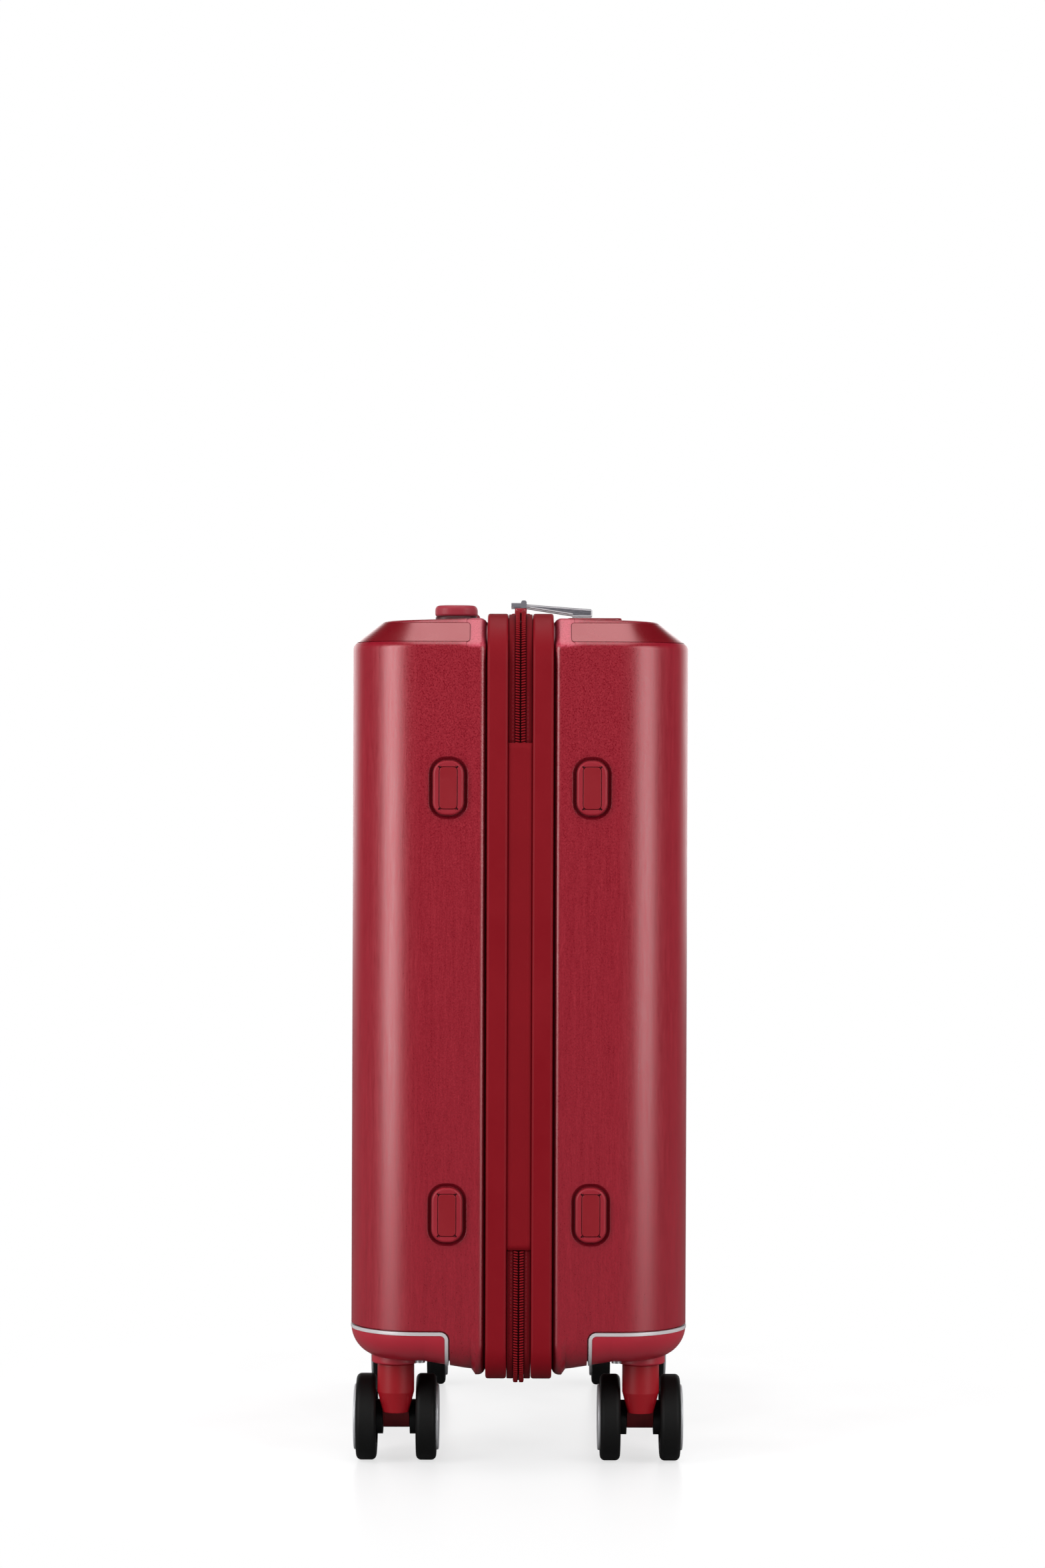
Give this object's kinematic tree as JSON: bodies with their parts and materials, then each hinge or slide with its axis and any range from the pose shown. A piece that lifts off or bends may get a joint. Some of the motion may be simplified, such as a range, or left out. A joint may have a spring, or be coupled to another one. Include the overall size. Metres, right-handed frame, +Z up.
{
  "type": "hard-shell spinner suitcase",
  "caption": "Hard-shell cabin suitcase of two zipped halves on a soft hinge, with telescopic handle, carry handles, combination lock and swivelling twin-wheel casters.",
  "frame": {"origin": "on the floor, under the middle of the overall width and depth", "axes": "+Z up, +X from the hinge side towards the side carry handle, +Y towards the shell that holds the pull-out handle"},
  "size_m": [0.3944, 0.2136, 0.5555],
  "materials": {
    "shell": "brushed polycarbonate, satin",
    "bevel_plate": "smooth satin",
    "piping": "soft satin",
    "zip": "woven tape with nylon coil",
    "foot_rubber": "matt",
    "housing": "moulded, smooth",
    "edge_strip": "bright",
    "bezel": "satin",
    "tube": "brushed anodised",
    "mount": "satin",
    "lining": "woven",
    "strap": "webbing with plastic buckle",
    "steel": "zinc plated",
    "lock": "moulded",
    "hinge": "soft flexible sheet",
    "grip": "moulded",
    "button": "moulded",
    "handle": "soft-touch",
    "slider": "lacquered with bright bridge",
    "pull": "satin bright",
    "dial": "moulded",
    "fork": "moulded",
    "tyre": "matt",
    "hub": "silver-painted cap on dark hub"
  },
  "bodies": {
    "back_half": {"back_shell": "shell", "back_bevel_trim": "bevel_plate", "back_binding": "piping", "back_zipper_half": "zip", "back_feet": "foot_rubber", "back_wheel_housings": "housing", "back_trim_strips": "edge_strip", "back_lining": "lining", "back_straps": "strap", "back_fasteners": "steel", "trolley_bezel": "bezel", "trolley_outer_tubes": "tube", "handle_mounts": "mount"},
    "front_half": {"front_shell": "shell", "front_bevel_trim": "bevel_plate", "front_binding": "piping", "front_zipper_half": "zip", "front_feet": "foot_rubber", "front_wheel_housings": "housing", "front_trim_strips": "edge_strip", "front_lining": "lining", "front_fasteners": "steel", "lock_housing": "lock", "divider_panel": "lining"},
    "hinge_panel": {"hinge_panel": "hinge"},
    "trolley_middle": {"trolley_middle_tubes": "tube"},
    "trolley_inner": {"trolley_inner_tubes": "tube", "trolley_grip": "grip"},
    "trolley_button": {"trolley_button": "button"},
    "top_handle": {"top_handle": "handle"},
    "side_handle": {"side_handle": "handle"},
    "zip_slider_left": {"zip_slider_left": "slider"},
    "zip_slider_right": {"zip_slider_right": "slider"},
    "zip_pull_left": {"zip_pull_left": "pull"},
    "zip_pull_right": {"zip_pull_right": "pull"},
    "lock_dial_1": {"lock_dial_1": "dial"},
    "lock_dial_2": {"lock_dial_2": "dial"},
    "lock_dial_3": {"lock_dial_3": "dial"},
    "lock_release": {"lock_release": "button"},
    "caster_1": {"caster_fork_1": "fork"},
    "wheel_1a": {"tyre_1a": "tyre", "hub_1a": "hub"},
    "wheel_1b": {"tyre_1b": "tyre", "hub_1b": "hub"},
    "caster_2": {"caster_fork_2": "fork"},
    "wheel_2a": {"tyre_2a": "tyre", "hub_2a": "hub"},
    "wheel_2b": {"tyre_2b": "tyre", "hub_2b": "hub"},
    "caster_3": {"caster_fork_3": "fork"},
    "wheel_3a": {"tyre_3a": "tyre", "hub_3a": "hub"},
    "wheel_3b": {"tyre_3b": "tyre", "hub_3b": "hub"},
    "caster_4": {"caster_fork_4": "fork"},
    "wheel_4a": {"tyre_4a": "tyre", "hub_4a": "hub"},
    "wheel_4b": {"tyre_4b": "tyre", "hub_4b": "hub"}
  },
  "joints": [
    {"name": "fold_back", "type": "hinge", "parent": "back_half", "child": "hinge_panel", "pos_m": [-0.19475, 0.0077, 0.301], "axis": [0, 0, -1], "range_deg": [0, 90]},
    {"name": "fold_front", "type": "hinge", "parent": "hinge_panel", "child": "front_half", "pos_m": [-0.19475, -0.0077, 0.301], "axis": [0, 0, -1], "range_deg": [0, 90]},
    {"name": "trolley_stage_1", "type": "slide", "parent": "back_half", "child": "trolley_middle", "axis": [0, 0, 1], "range_m": [0, 0.24]},
    {"name": "trolley_stage_2", "type": "slide", "parent": "trolley_middle", "child": "trolley_inner", "axis": [0, 0, 1], "range_m": [0, 0.24]},
    {"name": "trolley_release", "type": "slide", "parent": "trolley_inner", "child": "trolley_button", "axis": [0, 0, -1], "range_m": [0, 0.0035], "stiffness_N_per_m": 400},
    {"name": "top_handle_lift", "type": "slide", "parent": "back_half", "child": "top_handle", "axis": [0, 0, 1], "range_m": [0, 0.016], "stiffness_N_per_m": 100},
    {"name": "side_handle_lift", "type": "slide", "parent": "back_half", "child": "side_handle", "axis": [1, 0, 0], "range_m": [0, 0.016], "stiffness_N_per_m": 100},
    {"name": "zip_run_left", "type": "slide", "parent": "back_half", "child": "zip_slider_left", "axis": [-1, 0, 0], "range_m": [0, 0.12]},
    {"name": "pull_left", "type": "hinge", "parent": "zip_slider_left", "child": "zip_pull_left", "pos_m": [-0.01675, -0.0019, 0.5526], "axis": [-1, 0, 0], "range_deg": [0, 115]},
    {"name": "zip_run_right", "type": "slide", "parent": "back_half", "child": "zip_slider_right", "axis": [1, 0, 0], "range_m": [0, 0.12]},
    {"name": "pull_right", "type": "hinge", "parent": "zip_slider_right", "child": "zip_pull_right", "pos_m": [0.00925, -0.0019, 0.5526], "axis": [-1, 0, 0], "range_deg": [0, 115]},
    {"name": "dial_turn_1", "type": "hinge", "parent": "front_half", "child": "lock_dial_1", "pos_m": [-0.02075, -0.057, 0.5356], "axis": [1, 0, 0], "continuous": true},
    {"name": "dial_turn_2", "type": "hinge", "parent": "front_half", "child": "lock_dial_2", "pos_m": [-0.00375, -0.057, 0.5356], "axis": [1, 0, 0], "continuous": true},
    {"name": "dial_turn_3", "type": "hinge", "parent": "front_half", "child": "lock_dial_3", "pos_m": [0.01325, -0.057, 0.5356], "axis": [1, 0, 0], "continuous": true},
    {"name": "lock_slide", "type": "slide", "parent": "front_half", "child": "lock_release", "axis": [1, 0, 0], "range_m": [0, 0.005], "stiffness_N_per_m": 200},
    {"name": "swivel_1", "type": "hinge", "parent": "back_half", "child": "caster_1", "pos_m": [-0.14975, 0.078, 0.055], "axis": [0, 0, 1], "continuous": true},
    {"name": "spin_1a", "type": "hinge", "parent": "caster_1", "child": "wheel_1a", "pos_m": [-0.13375, 0.059, 0.0275], "axis": [0, 1, 0], "continuous": true},
    {"name": "spin_1b", "type": "hinge", "parent": "caster_1", "child": "wheel_1b", "pos_m": [-0.13375, 0.097, 0.0275], "axis": [0, 1, 0], "continuous": true},
    {"name": "swivel_2", "type": "hinge", "parent": "back_half", "child": "caster_2", "pos_m": [0.14225, 0.078, 0.055], "axis": [0, 0, 1], "continuous": true},
    {"name": "spin_2a", "type": "hinge", "parent": "caster_2", "child": "wheel_2a", "pos_m": [0.15825, 0.059, 0.0275], "axis": [0, 1, 0], "continuous": true},
    {"name": "spin_2b", "type": "hinge", "parent": "caster_2", "child": "wheel_2b", "pos_m": [0.15825, 0.097, 0.0275], "axis": [0, 1, 0], "continuous": true},
    {"name": "swivel_3", "type": "hinge", "parent": "front_half", "child": "caster_3", "pos_m": [-0.14975, -0.078, 0.055], "axis": [0, 0, 1], "continuous": true},
    {"name": "spin_3a", "type": "hinge", "parent": "caster_3", "child": "wheel_3a", "pos_m": [-0.13375, -0.097, 0.0275], "axis": [0, 1, 0], "continuous": true},
    {"name": "spin_3b", "type": "hinge", "parent": "caster_3", "child": "wheel_3b", "pos_m": [-0.13375, -0.059, 0.0275], "axis": [0, 1, 0], "continuous": true},
    {"name": "swivel_4", "type": "hinge", "parent": "front_half", "child": "caster_4", "pos_m": [0.14225, -0.078, 0.055], "axis": [0, 0, 1], "continuous": true},
    {"name": "spin_4a", "type": "hinge", "parent": "caster_4", "child": "wheel_4a", "pos_m": [0.15825, -0.097, 0.0275], "axis": [0, 1, 0], "continuous": true},
    {"name": "spin_4b", "type": "hinge", "parent": "caster_4", "child": "wheel_4b", "pos_m": [0.15825, -0.059, 0.0275], "axis": [0, 1, 0], "continuous": true}
  ],
  "couplings": [
    {"joint": "fold_front", "follows": "fold_back", "ratio": 1},
    {"joint": "trolley_stage_2", "follows": "trolley_stage_1", "ratio": 1}
  ]
}
